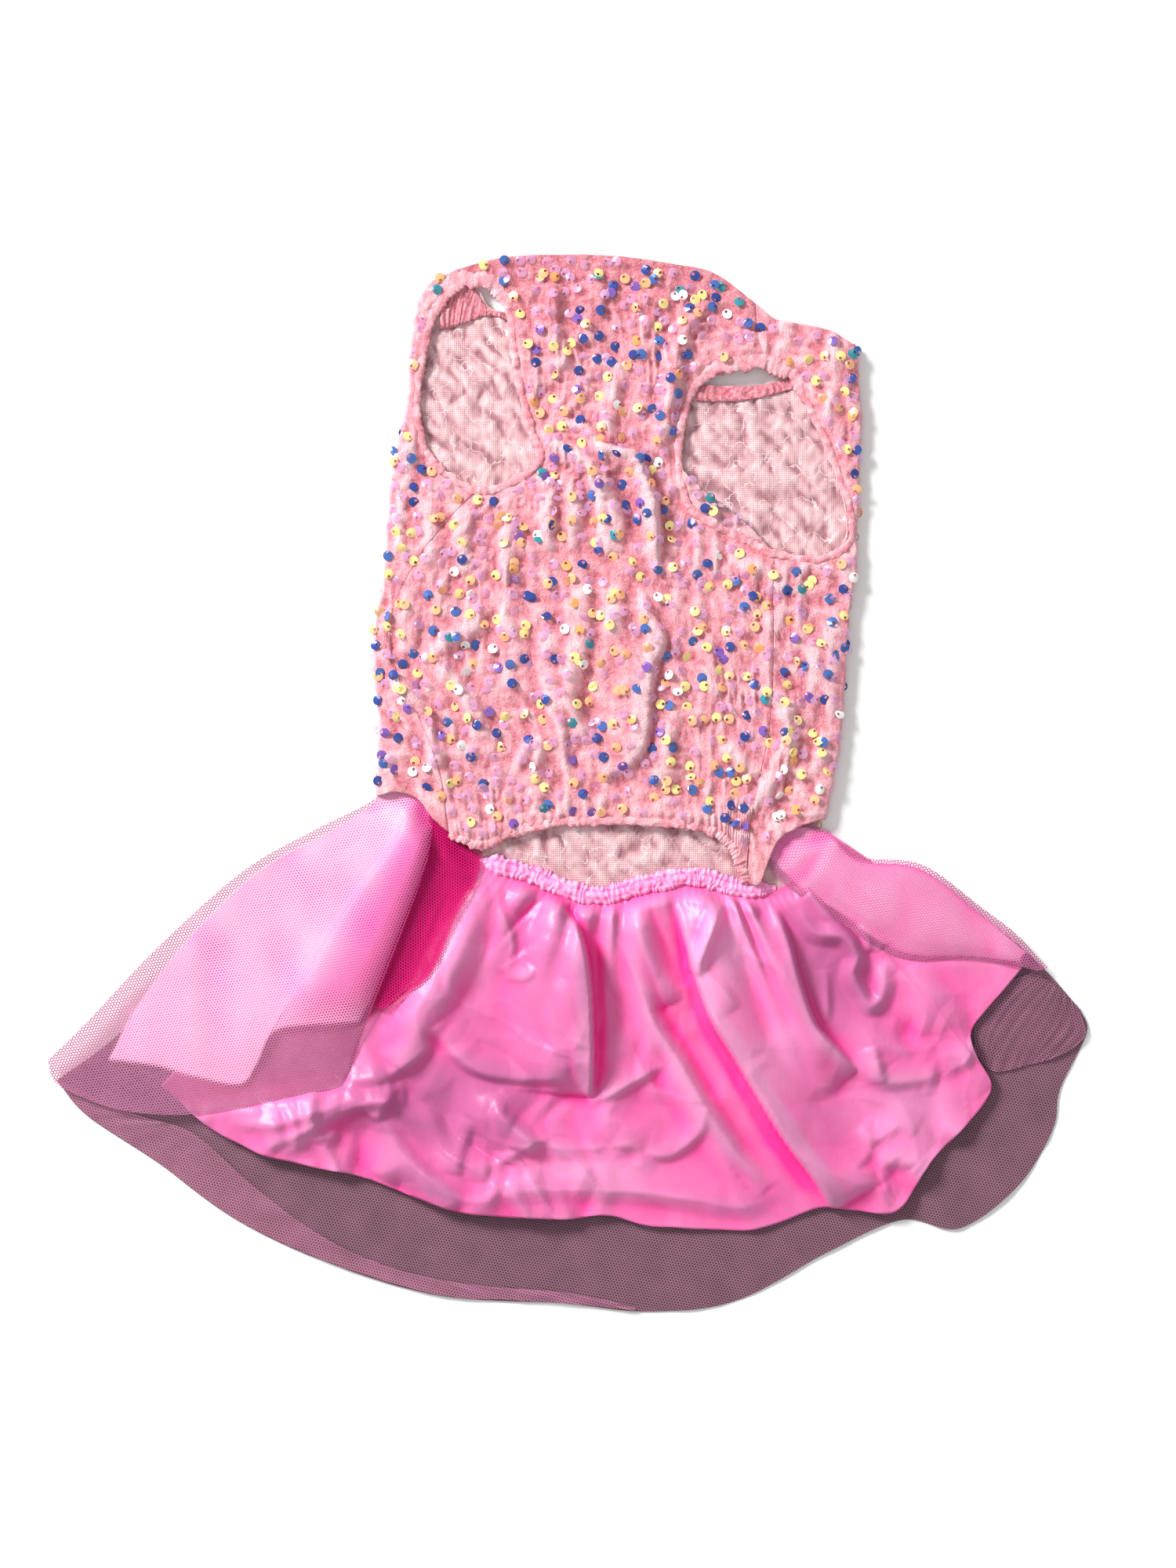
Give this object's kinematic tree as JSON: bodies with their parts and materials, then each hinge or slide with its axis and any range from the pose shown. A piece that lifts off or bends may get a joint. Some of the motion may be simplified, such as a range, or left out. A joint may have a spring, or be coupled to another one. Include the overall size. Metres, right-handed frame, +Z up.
{
  "type": "pet dress",
  "caption": "Small pet dress laid flat belly side up: sequinned velvet bodice with leg holes and belly cut-away, gathered satin skirt under a net overskirt, both sides folded over.",
  "frame": {"origin": "on the surface the dress lies on, under the middle of its outline", "axes": "+Z up from the surface, +Y towards the neck, +X across the dress to the right when its belly side is seen with the neck at the top"},
  "size_m": [0.5099, 0.518, 0.0167],
  "materials": {
    "sequin_velvet": "rose-pink crushed stretch velvet with a short pile, a pale knitted reverse, and loose 5 mm cup sequins",
    "velvet_trim": "turned and gathered edges of the same velvet, with no sequins",
    "elastic_casing": "hot pink gathered seam over narrow elastic",
    "satin": "smooth pink polyester satin with a soft sheen, creased",
    "net": "fine pink hexagonal net, see-through",
    "sequin": "thin pearlescent film discs in blue, yellow, peach, white and lilac",
    "thread": "pale pink sewing thread"
  },
  "bodies": {
    "root": {"back_panel": "sequin_velvet", "neck_back_hem": "velvet_trim", "belly_panel": "sequin_velvet", "leg_binding_left": "velvet_trim", "leg_binding_right": "velvet_trim", "belly_hem": "velvet_trim", "waist_casing": "elastic_casing", "satin_skirt": "satin", "satin_side_left": "satin", "satin_side_right": "satin", "net_skirt": "net", "net_side_left": "net", "net_side_right": "net", "net_turnback_left": "net", "net_turnback_right": "net"}
  },
  "joints": []
}
